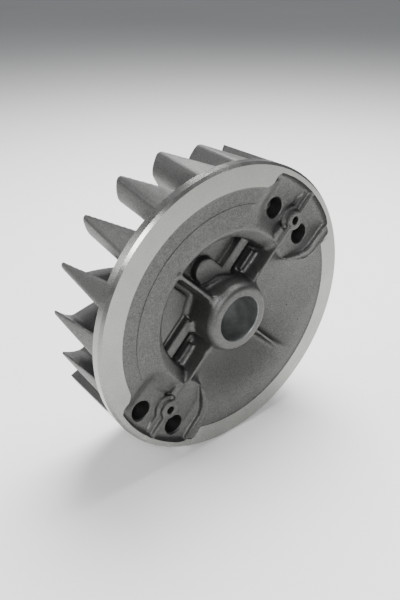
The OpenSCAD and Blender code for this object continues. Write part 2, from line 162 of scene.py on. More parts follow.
PIVOT_R = 21.0
BOSS_R = 5.6
BOSS_TOP = 16.8
BOSS_FACING_R = 6.6
POST_R = 1.5
POST_PLACE = (-3.93, 13.2)
POST_BACK = 23.2

WIRE_R = 0.4
WIRE_SIDES = 12
BEND_R = 0.9
COIL_R = 3.75
COIL_GAP = 0.1
COIL_START = 321.3
COIL_TURN = 876
LEG_1 = 9.2
LEG_2 = 10
HOOK = 2.7

WEB_BACK = [(11, -16), (17, -16), (24, -15.6), (29, -14), (34, -10.6), (40, -6.4),
            (46, -3.9), (49.5, -RIM_T), (60, -RIM_T)]
RECESS_CENTRE_Y = 1.4
RECESS_FLOOR_R = 25.8          # bars and platforms end here
RECESS_BROW_R = 27.6           # where the recess begins to fall away
RECESS_BROW = [(12, 23.8), (30, 24.7), (45, 26.0), (65, 27.1)]   # angle, radius
BROW_SLOPE = 0.7
SHOULDER_Z = -0.5
WALL_RUN = 1.5                 # width of the recess wall, seen from the front
BOSS_PLACE = (6.4, 16.3)
BOSS_DISC_R = 4.1
BOSS_FOOT = (2.3, 10.4, 11, 16.4)                    # x from, x to, y from, y to
THICK_BAR_RIGHT = (8.4, 25.4, 7.5, 11.1)
THIN_BAR_RIGHT = (13.6, 21.2, 1.1, 3.1)
THIN_BAR_LEFT = (-22.6, -15.4, 1.2, 3.1)
SLOT_RIGHT = (12.4, 21.8, 3.3, 7.4)
SLOT_LEFT = (-21.8, -12.4, 3.3, 7.3)
SLOT_EXTRA = 1.6               # depth of a slot below the recess floor
THICK_BAR_TOP = -4.9
THIN_BAR_RIGHT_TOP = -5.4
LEFT_TOP = -5.6                # the left platform and the left thin bar
PLATFORM_TOP = -4.3
PLATFORM_EDGE_TOP = -3.75
SEAM_R = 36.7
SEAM_HALF = 0.12
SEAM_RISE = 0.12
SEAM_MIDDLE = 91
SEAM_HALF_ANGLE = 59
PAD_LIP = [(25.2, -8.2), (27.3, -10.3), (29.6, -12.4), (32, -14.2), (34.3, -14.9),
           (40.2, -15.2), (48.5, -15.4), (48.5, -18.9), (41.5, -18.7), (34.3, -18.3),
           (30.6, -17.2), (28.6, -15.2), (26.6, -12.2), (24.9, -9.0)]
PAD_FLOOR_PLAIN = [(25.6, 1), (25.4, -8.4), (27.3, -10.3), (29.6, -12.4), (32, -14.2),
                   (34.3, -14.9), (52, -15.4), (52, 1)]
PAD_FLOOR_RIBBED = [(24, -1), (24, 20), (37.7, 19), (39.2, 18.1), (42.1, 17.9),
                    (43.6, 17), (52, 15), (52, -1)]
PLATFORM_RIGHT = [(0, 5), (0, 17.4), (1.5, 15.9), (3.4, 14.2), (7.3, 11.9), (8.2, 10.8),
                  (9.8, 7.4), (10.8, 5.9), (11.6, 3)]
PLATFORM_LEFT = [(-30, 13.7), (-8.4, 13.8), (-3.3, 16.6), (-3.3, 31), (-30, 31)]
THICK_BAR_LEFT = [(-27, 7.4), (-12.4, 7.4), (-11, 5.6), (-9.6, 8), (-9.2, 11), (-27, 11)]

VOXEL = 0.38
MAX_TRIANGLES = 150000
ROUND_STEPS = 360


# ------------------------------------------------------- distance functions
def smooth_min(a, b, k):
    """The lesser of two distances, with a fillet of about k where they meet."""
    h = np.clip(0.5 + 0.5 * (b - a) / k, 0, 1)
    return b + (a - b) * h - k * h * (1 - h)


def smooth_max(a, b, k):
    return -smooth_min(-a, -b, k)


def smooth_step(value):
    t = np.clip(value, 0, 1)
    return t * t * (3 - 2 * t)


def circle(x, y, cx, cy, r):
    return np.hypot(x - cx, y - cy) - r


def box(x, y, x0, x1, y0, y1, corner=0.4):
    """Distance to a rectangle with rounded corners."""
    dx = np.abs(x - (x0 + x1) / 2) - (x1 - x0) / 2 + corner
    dy = np.abs(y - (y0 + y1) / 2) - (y1 - y0) / 2 + corner
    outside = np.hypot(np.maximum(dx, 0), np.maximum(dy, 0))
    return outside + np.minimum(np.maximum(dx, dy), 0) - corner


def polygon(x, y, points):
    """Signed distance to a closed outline."""
    nearest = np.full(x.shape, 1e9)
    inside = np.zeros(x.shape, bool)
    for (ax, ay), (bx, by) in zip(points, points[1:] + points[:1]):
        ex, ey = bx - ax, by - ay
        t = np.clip(((x - ax) * ex + (y - ay) * ey) / (ex * ex + ey * ey), 0, 1)
        nearest = np.minimum(nearest, np.hypot(x - ax - t * ex, y - ay - t * ey))
        if ey:
            crosses = ((ay <= y) != (by <= y)) & (x < ax + (y - ay) * ex / ey)
            inside ^= crosses
    return np.where(inside, -nearest, nearest)


def slope_cosine(height):
    """Turns a height difference into a distance on a sloping surface."""
    gx, gy = np.gradient(height, VOXEL)
    return 1 / np.sqrt(1 + np.minimum(gx * gx + gy * gy, 9))


# -------------------------------------------------------------- the casting
class Casting:
    """Distance field of the raw casting on a grid, in the face frame."""

    def __init__(self):
        reach = RIM_R + STOCK + 2 * VOXEL
        self.low = np.array([-reach, -reach, -FAN_DEPTH - 3 * VOXEL])
        self.high = np.array([reach, reach, HUB_RISE + 3 * VOXEL])
        axes = [np.arange(a, b + VOXEL, VOXEL) for a, b in zip(self.low, self.high)]
        self.x, self.y = np.meshgrid(axes[0], axes[1], indexing="ij")
        self.z = axes[2][None, None, :]
        self.r = np.hypot(self.x, self.y)
        self.angle = np.arctan2(self.y, self.x)
        self.back = np.interp(self.r, *zip(*WEB_BACK))
        self.field = None

    def surface(self, height):
        """Distance above a height map."""
        return (self.z - height[..., None]) * slope_cosine(height)[..., None]

    def start(self, height):
        rear = -(self.z - self.back[..., None]) * slope_cosine(self.back)[..., None]
        rim = (self.r - RIM_R - STOCK)[..., None]
        self.field = np.maximum(np.maximum(self.surface(height), rear), rim)

    def raised(self, outline, top, fillet, draft=0.06, edge=0.5):
        """Adds a shape that stands on the front, up to top."""
        top_map = np.broadcast_to(np.asarray(top, float), outline.shape)[..., None]
        wall = outline[..., None] - draft * np.maximum(top_map - self.z, 0)
        shape = smooth_max(wall, self.z - top_map, edge)
        shape = np.maximum(shape, self.back[..., None] + 2 - self.z)
        self.field = smooth_min(self.field, shape, fillet)

    def cut(self, sides, floor, fillet, edge=0.35):
        """Cuts a pocket into the front, down to floor. Each of its sides is an
        outline with its own draft."""
        floor_map = np.broadcast_to(np.asarray(floor, float), self.r.shape)[..., None]
        depth = np.maximum(self.z - floor_map, 0)
        wall = np.maximum.reduce([outline[..., None] - draft * depth for outline, draft in sides])
        shape = smooth_max(wall, floor_map - self.z, fillet)
        self.field = smooth_max(self.field, -shape, edge)

    def behind(self, outline, back, fillet, draft=0.05, edge=0.5):
        """Adds a shape that stands on the rear, down to back."""
        wall = outline[..., None] - draft * np.maximum(self.z + back, 0)
        shape = smooth_max(wall, -back - self.z, edge)
        shape = np.maximum(shape, self.z - self.back[..., None] - 1.5)
        self.field = smooth_min(self.field, shape, fillet)


def recess_height(c):
    """A gentle shoulder down to the brow, then a steep wall to the floor."""
    r = np.hypot(c.x, c.y - RECESS_CENTRE_Y)
    angle = np.degrees(np.arctan2(c.y - RECESS_CENTRE_Y, np.abs(c.x)))
    brow = np.interp(angle, *zip(*RECESS_BROW))
    brow_z = -0.9 - BROW_SLOPE * (RECESS_BROW[-1][1] - brow)
    inwards = np.clip((RECESS_BROW_R - r) / (RECESS_BROW_R - brow), 0, 1)
    shoulder = SHOULDER_Z + (brow_z - SHOULDER_Z) * inwards
    edge = CAST_FACE + (SHOULDER_Z - CAST_FACE) * np.clip(RECESS_BROW_R + 1 - r, 0, 1)
    shoulder = np.where(r > RECESS_BROW_R, edge, shoulder)
    drop = smooth_step((brow - r) / WALL_RUN)
    return shoulder + (-RECESS_DEPTH - shoulder) * drop


def front_height(c):
    """Front of the disc before the pads, ribs and hub: the bowl on the plain
    side, the cast face and recess on the other, and stock on the ring."""
    s = np.clip((RING_INNER_R - c.r) / (RING_INNER_R - HUB_R), 0, 1)
    bowl = CAST_FACE - (BOWL_DEPTH + CAST_FACE) * (1 - np.cos(np.pi * s)) / 2
    recess = recess_height(c)
    ribbed = np.where(c.r > RIBBED_FACE_R, CAST_FACE, recess)
    height = np.where(c.y < 0, bowl, ribbed)
    ring = (c.r - RING_INNER_R) * RING_STEP_SLOPE
    return np.where(c.r > RING_INNER_R - 0.4, np.clip(ring, CAST_FACE, STOCK), height)


def carve_recess(c):
    x, y = c.x, c.y
    inside = np.hypot(x, y - RECESS_CENTRE_Y) - RECESS_FLOOR_R
    boss = np.minimum(circle(x, y, *BOSS_PLACE, BOSS_DISC_R), box(x, y, *BOSS_FOOT))
    for outline, top in (
        (boss, THICK_BAR_TOP),
        (box(x, y, *THICK_BAR_RIGHT), THICK_BAR_TOP),
        (box(x, y, *THIN_BAR_RIGHT), THIN_BAR_RIGHT_TOP),
        (polygon(x, y, PLATFORM_LEFT), LEFT_TOP),
        (polygon(x, y, THICK_BAR_LEFT), THICK_BAR_TOP),
        (box(x, y, *THIN_BAR_LEFT), LEFT_TOP),
    ):
        c.raised(np.maximum(outline, inside), top, 0.5, draft=0.06, edge=0.4)
    for slot in (SLOT_RIGHT, SLOT_LEFT):
        c.cut([(box(x, y, *slot), 0.02)], -RECESS_DEPTH - SLOT_EXTRA, 0.4)
    platform = polygon(x, y, PLATFORM_RIGHT)
    c.raised(platform, PLATFORM_TOP, 0.2, draft=0.05, edge=0.4)
    bead = np.maximum(np.abs(platform + 0.4) - 0.34, 2.2 - x)
    c.raised(np.maximum(bead, 13 - c.r), PLATFORM_EDGE_TOP, 0.15, draft=0, edge=0.3)


def carve_pads(c):
    """Both pads at once, since one is the other's mirror image."""
    ax, y = np.abs(c.x), c.y
    in_pad = c.r - PAD_FLOOR_R
    rim_wall = (in_pad, 0.35)
    plain_floor = polygon(ax, y, PAD_FLOOR_PLAIN)
    floor = np.interp(-y, *zip(*PAD_RISE))
    c.raised(plain_floor, floor, 2.4, draft=0.45, edge=1.2)
    carve_lip(c, ax, y, in_pad)
    c.cut([(plain_floor, 0.1), rim_wall], floor, 0.5)
    away = np.maximum(smooth_step((19 - y) / 7), 0.9 * smooth_step((ax - 39.5) / 3.5))
    fall = (PAD_DEPTH + CAST_FACE) * smooth_step((ax - PAD_RAMP_START) / PAD_RAMP) * away
    c.cut([(polygon(ax, y, PAD_FLOOR_RIBBED), 0.15), rim_wall], CAST_FACE - fall, 0.5)
    c.cut([(box(ax, y, *PAD_POCKET), 0.1)], -PAD_DEPTH - 0.6, 0.5, edge=0.3)
    pilot = (ax, y, *PILOT_PLACE)
    collar = np.maximum(circle(*pilot, PILOT_COLLAR_R), PILOT_PLACE[1] - y)
    for outline, top, fillet in (
        (box(ax, y, *PAD_LEDGE), PAD_LEDGE_TOP, 0.3),
        (box(ax, y, *PAD_STEP), PAD_STEP_TOP, 0.4),
        (collar, PAD_STEP_TOP, 0.4),
        (circle(*pilot, PILOT_BOSS_R), PILOT_BOSS_TOP, 0.4),
        (box(ax, y, *PAD_RIB_END), PAD_RIB_END_TOP, 0.5),
    ):
        c.raised(outline, top, fillet, draft=0.08, edge=0.3)


def carve_lip(c, ax, y, in_pad):
    """The lip on a pad's plain side, with a crest along each edge. It crosses
    the ring, which is cut back for it."""
    top = np.interp(ax, *zip(*LIP_TOP))
    outline = polygon(ax, y, PAD_LIP)
    lip = np.maximum(outline, in_pad)
    c.cut([(lip, 0.1)], CAST_FACE - 0.3, 0.3, edge=0.2)
    c.raised(lip, top - LIP_FALL, 0.5, draft=0.1, edge=0.45)
    crest = np.maximum(np.abs(outline + CREST_INSET) - CREST_HALF, CREST_START - ax)
    c.raised(np.maximum(crest, in_pad), top, 0.25, draft=0.1, edge=0.3)


def carve_hub_and_ribs(c):
    half = RIB_TOP_HALF
    hub = c.r - HUB_R
    long_rib = box(np.abs(c.x), c.y, 0, LONG_RIB_END, -half, half, 0.3)
    short_rib = box(c.x, c.y, -half, half, 0, SHORT_RIB_END, 0.3)
    low_rib = box(c.x - LOW_RIB_X, c.y, -half, half, -LOW_RIB_END, 0, 0.3)
    c.raised(long_rib, RIB_TOP, 1.2, draft=0.1, edge=0.4)
    c.raised(short_rib, RIB_TOP, 1.2, draft=0.1, edge=0.4)
    c.raised(low_rib, np.interp(-c.y, *zip(*LOW_RIB_TOP)), 2.0, draft=0.1, edge=0.6)
    flare = smooth_min(smooth_min(hub, long_rib, 1.5), short_rib, 3.2)
    flare = np.maximum(flare, c.r - FLARE_R)
    c.raised(flare, np.interp(c.r, *zip(*FLARE_TOP)), 1.0, draft=0.1, edge=0.8)
    c.raised(hub, HUB_RISE, 2.6, draft=0.1, edge=1.6)


def carve_rear(c):
    around = np.abs(np.abs(c.angle) - np.pi / 2)
    block = smooth_max(
        c.r * np.sin(np.clip(np.pi / 2 - BLOCK_HALF_ANGLE - around, -1.5, 1.5)),
        BLOCK_INNER_R - c.r, 2.0)
    block = np.maximum(block, c.r - BLOCK_R - STOCK)
    c.behind(block, BLOCK_BACK, 1.6, draft=0.03, edge=1.6)
    c.behind(c.r - HUB_R, HUB_BACK, 2.4, draft=0.02, edge=0.8)
    for side in (-1, 1):
        boss = circle(c.x, c.y, 0, side * PIVOT_R, BOSS_R)
        post = circle(c.x, c.y, side * POST_PLACE[0], side * POST_PLACE[1], POST_R)
        c.behind(boss, BOSS_TOP + 0.3, 1.2, draft=0.05, edge=0.4)
        c.behind(post, POST_BACK, 0.8, draft=0.0, edge=0.4)


def blade_lead(r):
    """Angle in degrees by which a blade leads its tip at a radius."""
    outer = LEAD_PEAK * (1 - (np.maximum(r - LEAD_PEAK_R, 0) / (BLADE_TIP_R - LEAD_PEAK_R)) ** 1.5)
    inner = LEAD_PEAK + 0.5 - LEAD_FALL * np.sqrt((LEAD_PEAK_R - r) ** 2 + 1)
    return np.where(r > LEAD_PEAK_R, outer, inner)


def carve_blades(c):
    """All the blades at once, by folding the angle round each row's middle."""
    radii = np.linspace(EYE_R, BLADE_TIP_R, 60)
    slope = np.gradient(np.radians(blade_lead(radii)), radii) * radii
    squeeze = np.interp(c.r, radii, 1 / np.sqrt(1 + slope**2))
    lead = np.radians(blade_lead(np.clip(c.r, EYE_R, BLADE_TIP_R)))
    layers = c.z < CAST_FACE
    z = c.z[..., layers[0, 0]]
    draft = BLADE_DRAFT * np.maximum(FAN_DEPTH + z, 0) / (FAN_DEPTH - RIM_T)
    half_t = BLADE_EDGE_HALF + draft
    body = c.field[..., layers[0, 0]]
    for middle in (np.pi / 2, -np.pi / 2):
        turned = np.angle(np.exp(1j * (c.angle - lead - middle)))
        last = (BLADES_PER_SIDE - 1) / 2
        index = np.clip(np.round(turned / BLADE_PITCH), -last, last)
        across = (np.abs(turned - index * BLADE_PITCH) * c.r * squeeze)[..., None]
        flank = across - half_t
        ends = np.maximum(c.r - BLADE_TIP_R, EYE_R - c.r)[..., None]
        shape = smooth_max(flank, ends, 1.0)
        out = np.maximum(c.r[..., None] - (BLADE_TIP_R - BLADE_CORNER), 0)
        down = np.maximum(-z - (FAN_DEPTH - BLADE_CORNER), 0)
        shape = smooth_max(shape, np.hypot(out, down) - BLADE_CORNER, 0.5)
        shape = np.maximum(shape, z - c.back[..., None] - 1.5)
        body = smooth_min(body, shape, 1.4)
    c.field[..., layers[0, 0]] = body


def to_row(points):
    """Face frame in millimetres to row frame in metres."""
    p = np.asarray(points, float)
    x, y, z = p[..., 0], p[..., 1], p[..., 2]
    return np.stack([(x - y) * HALF, -z, (x + y) * HALF], -1) * MM


def to_face(points):
    """Row frame in metres to face frame in millimetres."""
    p = np.asarray(points, float) / MM
    x, y, z = p[..., 0], p[..., 1], p[..., 2]
    return np.stack([(x + z) * HALF, (z - x) * HALF, -y], -1)


def new_object(name, vertices, faces):
    mesh = bpy.data.meshes.new(name)
    mesh.from_pydata(vertices.tolist(), [], faces)
    mesh.validate()
    piece = bpy.data.objects.new(name, mesh)
    bpy.context.scene.collection.objects.link(piece)
    return piece


def raw_casting():
    c = Casting()
    c.start(front_height(c))
    carve_pads(c)
    carve_recess(c)
    carve_hub_and_ribs(c)
    carve_rear(c)
    carve_blades(c)
    grid = openvdb.FloatGrid(2.0)
    grid.copyFromArray(np.ascontiguousarray(np.clip(c.field, -2, 2), np.float32))
    points, triangles, quads = grid.convertToPolygons(isovalue=0.0, adaptivity=0.0)
    place = points * VOXEL + c.low
    faces = quads[:, ::-1].tolist() + triangles[:, ::-1].tolist()
    return new_object("wheel_casting_piece", to_row(place), faces)


# ---------------------------------------------------------------- machining
def lathe(profile, steps=ROUND_STEPS):
    """Closed solid turned from a profile of (radius, z) that starts and ends
    on the axis."""
    bm = bmesh.new()
    rings = []
    for r, z in profile:
        if r == 0:
            rings.append([bm.verts.new((0, 0, z))] * steps)
        else:
            turn = [2 * math.pi * i / steps for i in range(steps)]
            rings.append([bm.verts.new((r * math.cos(a), r * math.sin(a), z)) for a in turn])
    for low, high in zip(rings, rings[1:]):
        for i in range(steps):
            corners = [low[i], low[(i + 1) % steps], high[(i + 1) % steps], high[i]]
            corners = list(dict.fromkeys(corners))
            if len(corners) > 2:
                bm.faces.new(corners)
    return bm


def disc(r, z_one, z_other, steps=96):
    return lathe([(0, z_one), (r, z_one), (r, z_other), (0, z_other)], steps)


def sector_solid(r_in, r_out, z_low, z_high, middle, half_angle, steps=48):
    bm = bmesh.new()
    rings = []
    for i in range(steps + 1):
        a = middle - half_angle + 2 * half_angle * i / steps
        corners = ((r_in, z_low), (r_out, z_low), (r_out, z_high), (r_in, z_high))
        rings.append([bm.verts.new((r * math.cos(a), r * math.sin(a), z)) for r, z in corners])
    for low, high in zip(rings, rings[1:]):
        for i in range(4):
            bm.faces.new([low[i], low[(i + 1) % 4], high[(i + 1) % 4], high[i]])
    bm.faces.new(rings[0])
    bm.faces.new(rings[-1])
    return bm


def cutter(name, solids):
    """One object from several closed solids, in the row frame."""
    joined = bmesh.new()
    for bm in solids:
        bmesh.ops.recalc_face_normals(bm, faces=bm.faces)
        scratch = bpy.data.meshes.new("scratch")
        bm.to_mesh(scratch)
        joined.from_mesh(scratch)
        bpy.data.meshes.remove(scratch)
        bm.free()
    for v in joined.verts:
        v.co = Vector(to_row(v.co))
    bmesh.ops.recalc_face_normals(joined, faces=joined.faces)
    mesh = bpy.data.meshes.new(name)
    joined.to_mesh(mesh)
    joined.free()
    tool = bpy.data.objects.new(name, mesh)
    bpy.context.scene.collection.objects.link(tool)
    return tool


def moved(bm, x, y):
    bmesh.ops.translate(bm, verts=bm.verts, vec=(x, y, 0))
    return bm


def hole(r, floor, mouth, x, y, steps=96):
    """A hole from the front with a slight chamfer at its mouth."""
    lip = 0.2
    profile = [(0, floor), (r - 0.3, floor), (r, floor + 0.4), (r, mouth - lip),
               (r + lip, mouth), (r + lip, 2), (0, 2)]
    return moved(lathe(profile, steps), x, y)


def envelope():
    """What turning leaves: rim, chamfer and ring face."""
    rear = -FAN_DEPTH - 1
    profile = [(0, HUB_RISE), (FACED_FROM_R, HUB_RISE), (FACED_FROM_R, 0),
               (RIM_R - RIM_CHAMFER, 0), (RIM_R, -RIM_CHAMFER),
               (RIM_R, -RIM_TURNED), (BLOCK_R, -RIM_TURNED - 0.1), (BLOCK_R, rear), (0, rear)]
    return cutter("envelope", [lathe(profile)])


def drills():
    solids = []
    for side in (1, -1):
        for y in (-CORED_Y, CORED_Y):
            solids.append(hole(CORED_R, -CORED_DEPTH[side], -PAD_DEPTH, side * CORED_X[side], y))
        pilot_x, pilot_y = PILOT_PLACE
        solids.append(hole(PILOT_R, -PILOT_DEPTH, PILOT_BOSS_TOP, side * pilot_x, pilot_y, 48))
    taper = [(0, HUB_RISE + 1), (BORE_R + 1.2, HUB_RISE + 1), (BORE_R + 0.25, HUB_RISE),
             (BORE_R, HUB_RISE - 0.3), (BORE_R, -BORE_MOUTH), (TAPER_END_R, -HUB_BACK - 0.3),
             (TAPER_END_R, -HUB_BACK - 2), (0, -HUB_BACK - 2)]
    solids.append(lathe(taper, 192))
    return cutter("drills", solids)


def facing_tools():
    """Cutters behind the disc: the hub's rear face, the pawl boss tops and
    the pocket of the magnet pack with its rivet heads."""
    solids = [disc(HUB_FACING_R, -HUB_BACK, -FAN_DEPTH - 1, 128)]
    for side in (-1, 1):
        solids.append(moved(disc(BOSS_FACING_R, -BOSS_TOP, -HUB_BACK), 0, side * PIVOT_R))
    solids.append(sector_solid(PACK_INNER_R, RIM_R + 3, -PACK_BACK, -PACK_FRONT,
                               math.pi, PACK_HALF_ANGLE))
    for y in (-CORED_Y, CORED_Y):
        head = disc(RIVET_HEAD_R, -PACK_BACK - RIVET_HEAD_T, -PACK_BACK + 0.2, 64)
        solids.append(moved(head, -CORED_X[-1], y))
    return solids


def insert_seam():
    """Fine raised line that the die's insert leaves on the cast face."""
    line = (SEAM_R - SEAM_HALF, SEAM_R + SEAM_HALF, CAST_FACE - 0.6, CAST_FACE + SEAM_RISE)
    return sector_solid(*line, math.radians(SEAM_MIDDLE), math.radians(SEAM_HALF_ANGLE))


def bore_key():
    """Key cast in the taper, which the crank's keyway takes."""
    bm = bmesh.new()
    bmesh.ops.create_cube(bm, size=1)
    bmesh.ops.scale(bm, verts=bm.verts, vec=(KEY_WIDTH, KEY_HEIGHT, KEY_LENGTH))
    bmesh.ops.translate(bm, verts=bm.verts, vec=(0, BORE_R - 0.3, KEY_MIDDLE))
    return bm


def machine(piece, tool, operation):
    step = piece.modifiers.new(operation.lower(), "BOOLEAN")
    step.operation = operation
    step.object = tool
    step.solver = "MANIFOLD"
    apply_modifiers(piece)
    bpy.data.objects.remove(tool)


def apply_modifiers(piece):
    graph = bpy.context.evaluated_depsgraph_get()
    mesh = bpy.data.meshes.new_from_object(piece.evaluated_get(graph))
    piece.modifiers.clear()
    piece.data = mesh


def face_places(mesh):
    """Centre and normal of each face, in the face frame."""
    centre = np.empty(len(mesh.polygons) * 3)
    normal = np.empty(len(mesh.polygons) * 3)
    mesh.polygons.foreach_get("center", centre)
    mesh.polygons.foreach_get("normal", normal)
    return to_face(centre.reshape(-1, 3)), to_face(normal.reshape(-1, 3) * MM)


def paint_machined(piece):
    """Material 1 on turned faces, 2 in the crank bore, 0 on what is as cast."""
    centre, normal = face_places(piece.data)
    r = np.hypot(centre[:, 0], centre[:, 1])
    z = centre[:, 2]
    flat = 0.02
    ring = (r > FACED_FROM_R - 0.2) & (np.abs(z) < flat)
    rim = (r > RIM_R - RIM_CHAMFER - 0.1) & (z > -RIM_TURNED - 0.2)
    bore = (r < BORE_R + 0.6) & (z < HUB_RISE + 0.01) & (np.abs(normal[:, 2]) < 0.9)
    at_seat = (np.abs(z + BOSS_TOP) < flat) | (np.abs(z + HUB_BACK) < flat)
    seats = at_seat & (normal[:, 2] < -0.99) & (r < 30)
    turned = ring | rim | seats
    piece.data.polygons.foreach_set(
        "material_index", np.where(bore, 2, np.where(turned, 1, 0)).astype(np.int32))


def wheel_casting():
    piece = raw_casting()
    count = len(piece.data.polygons) * 2
    if count > MAX_TRIANGLES:
        thin = piece.modifiers.new("thin", "DECIMATE")
        thin.ratio = MAX_TRIANGLES / count
        apply_modifiers(piece)
    machine(piece, envelope(), "INTERSECT")
    machine(piece, drills(), "DIFFERENCE")
    machine(piece, cutter("facing", facing_tools()), "DIFFERENCE")
    machine(piece, cutter("additions", [bore_key(), insert_seam()]), "UNION")
    piece.data.materials.clear()
    piece.data.materials.append(cast_aluminium())
    piece.data.materials.append(turned_aluminium())
    piece.data.materials.append(bored_aluminium())
    paint_machined(piece)
    piece.data.shade_smooth()
    piece.data.set_sharp_from_angle(angle=math.radians(32))
    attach(piece, "flywheel")
    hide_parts("wheel_casting", "fan_blades")
    return piece


# ---------------------------------------------------------------- materials
class Nodes:
    """Short ways to build a material's node tree."""

    def __init__(self, name):
        self.material = bpy.data.materials.new(name)
        self.material.use_nodes = True
        self.tree = self.material.node_tree
        self.shader = self.tree.nodes["Principled BSDF"]
        self.place = self.add("ShaderNodeTexCoord").outputs["Object"]

    def add(self, kind, **settings):
        node = self.tree.nodes.new(kind)
        for key, value in settings.items():
            setattr(node, key, value)
        return node

    def link(self, source, target):
        self.tree.links.new(source, target)

    def noise(self, scale, detail=3.0, roughness=0.6, stretch=(1, 1, 1), rotate=(0, 0, 0)):
        mapping = self.add("ShaderNodeMapping")
        mapping.inputs["Scale"].default_value = stretch
        mapping.inputs["Rotation"].default_value = rotate
        self.link(self.place, mapping.inputs["Vector"])
        noise = self.add("ShaderNodeTexNoise")
        noise.inputs["Scale"].default_value = scale
        noise.inputs["Detail"].default_value = detail
        noise.inputs["Roughness"].default_value = roughness
        self.link(mapping.outputs["Vector"], noise.inputs["Vector"])
        return noise.outputs["Fac"]

    def cells(self, scale):
        cells = self.add("ShaderNodeTexVoronoi", feature="F1")
        cells.inputs["Scale"].default_value = scale
        self.link(self.place, cells.inputs["Vector"])
        return cells

    def span(self, value, low, high, to_low, to_high):
        node = self.add("ShaderNodeMapRange", clamp=True)
        for key, number in (("From Min", low), ("From Max", high),
                            ("To Min", to_low), ("To Max", to_high)):
            node.inputs[key].default_value = number
        self.link(value, node.inputs["Value"])
        return node.outputs["Result"]

    def math(self, operation, a, b):
        node = self.add("ShaderNodeMath", operation=operation)
        for socket, value in zip(node.inputs, (a, b)):
            if isinstance(value, (int, float)):
                socket.default_value = value
            else:
                self.link(value, socket)
        return node.outputs["Value"]

    def blend(self, amount, a, b):
        node = self.add("ShaderNodeMix", data_type="RGBA")
        self.link(amount, node.inputs["Factor"])
        for socket, value in ((node.inputs["A"], a), (node.inputs["B"], b)):
            if isinstance(value, tuple):
                socket.default_value = (*value, 1)
            else:
                self.link(value, socket)
        return node.outputs["Result"]

    def bump(self, height, strength, distance, after=None):
        node = self.add("ShaderNodeBump")
        node.inputs["Strength"].default_value = strength
        node.inputs["Distance"].default_value = distance
        self.link(height, node.inputs["Height"])
        if after is not None:
            self.link(after, node.inputs["Normal"])
        return node.outputs["Normal"]

    def finish(self, color, roughness, normal=None, metallic=1.0):
        if isinstance(color, tuple):
            self.shader.inputs["Base Color"].default_value = (*color, 1)
        else:
            self.link(color, self.shader.inputs["Base Color"])
        if isinstance(roughness, float):
            self.shader.inputs["Roughness"].default_value = roughness
        else:
            self.link(roughness, self.shader.inputs["Roughness"])
        if normal is not None:
            self.link(normal, self.shader.inputs["Normal"])
        self.shader.inputs["Metallic"].default_value = metallic
        return self.material


def cast_aluminium():
    """Blasted die casting: fine sparkle, soft mottling and a few pores."""
    n = Nodes("cast_aluminium")
    grain = n.noise(2300, 2.0, 0.75)
    mottle = n.noise(420, 4.0, 0.65)
    cloud = n.noise(55, 3.0, 0.5)
    shade = n.blend(n.span(grain, 0.30, 0.70, 0, 1), (0.07, 0.07, 0.069), (0.155, 0.155, 0.151))
    shade = n.blend(n.span(mottle, 0.35, 0.7, 0, 0.55), shade, (0.095, 0.094, 0.091))
    shade = n.blend(n.span(cloud, 0.4, 0.7, 0, 0.35), shade, (0.155, 0.155, 0.151))
    pores = n.cells(330)
    dot = n.span(pores.outputs["Distance"], 0.05, 0.11, 1, 0)
    rare = n.span(n.noise(110, 2.0, 0.5), 0.60, 0.66, 0, 1)
    shade = n.blend(n.math("MULTIPLY", dot, rare), shade, (0.035, 0.034, 0.032))
    rough = n.span(grain, 0.3, 0.7, 0.58, 0.40)
    normal = n.bump(mottle, 0.35, 0.0003)
    normal = n.bump(grain, 0.6, 0.00014, normal)
    return n.finish(shade, rough, normal)


def turned_aluminium():
    """Face-turned aluminium: faint rings, a soft haze and light scratches."""
    n = Nodes("turned_aluminium")
    rings = n.add("ShaderNodeTexWave", wave_type="RINGS", rings_direction="Y")
    rings.inputs["Scale"].default_value = 700
    rings.inputs["Distortion"].default_value = 1.5
    rings.inputs["Detail"].default_value = 2
    n.link(n.place, rings.inputs["Vector"])
    haze = n.noise(120, 5.0, 0.65)
    fine = n.noise(2400, 2.0, 0.7)
    shade = n.blend(n.span(haze, 0.3, 0.7, 0, 1), (0.22, 0.22, 0.208), (0.28, 0.28, 0.266))
    shade = n.blend(n.span(fine, 0.35, 0.75, 0, 0.4), shade, (0.40, 0.40, 0.387))
    for turn, stretch in (((0.2, 0.4, 0.9), (1, 1, 0.03)), ((1.1, 0.3, 0.2), (0.03, 1, 1))):
        scratch = n.noise(520, 1.0, 0.4, stretch, turn)
        line = n.span(scratch, 0.735, 0.75, 0, 0.5)
        shade = n.blend(line, shade, (0.3, 0.3, 0.29))
    rough = n.span(haze, 0.3, 0.7, 0.21, 0.31)
    normal = n.bump(rings.outputs["Fac"], 0.06, 0.00003)
    normal = n.bump(fine, 0.25, 0.00006, normal)
    return n.finish(shade, rough, normal)


def bored_aluminium():
    """Dull, oily wall of the crank bore."""
    n = Nodes("bored_aluminium")
    haze = n.noise(300, 4.0, 0.6)
    fine = n.noise(2400, 2.0, 0.7)
    shade = n.blend(n.span(haze, 0.3, 0.7, 0, 1), (0.17, 0.178, 0.176), (0.27, 0.278, 0.275))
    rough = n.span(fine, 0.3, 0.7, 0.5, 0.62)
    return n.finish(shade, rough, n.bump(fine, 0.4, 0.0001))


def plain_metal(name, dark, light, rough_low, rough_high):
    """Metal with fine grain, used for the small steel pieces."""
    n = Nodes(name)
    fine = n.noise(1800, 3.0, 0.65)
    cloud = n.noise(160, 3.0, 0.5)
    shade = n.blend(n.span(cloud, 0.3, 0.7, 0, 1), dark, light)
    shade = n.blend(n.span(fine, 0.55, 0.8, 0, 0.5), shade, tuple(v * 0.6 for v in dark))
    rough = n.span(cloud, 0.3, 0.7, rough_low, rough_high)
    normal = n.bump(fine, 0.25, 0.00005)
    return n.finish(shade, rough, normal)


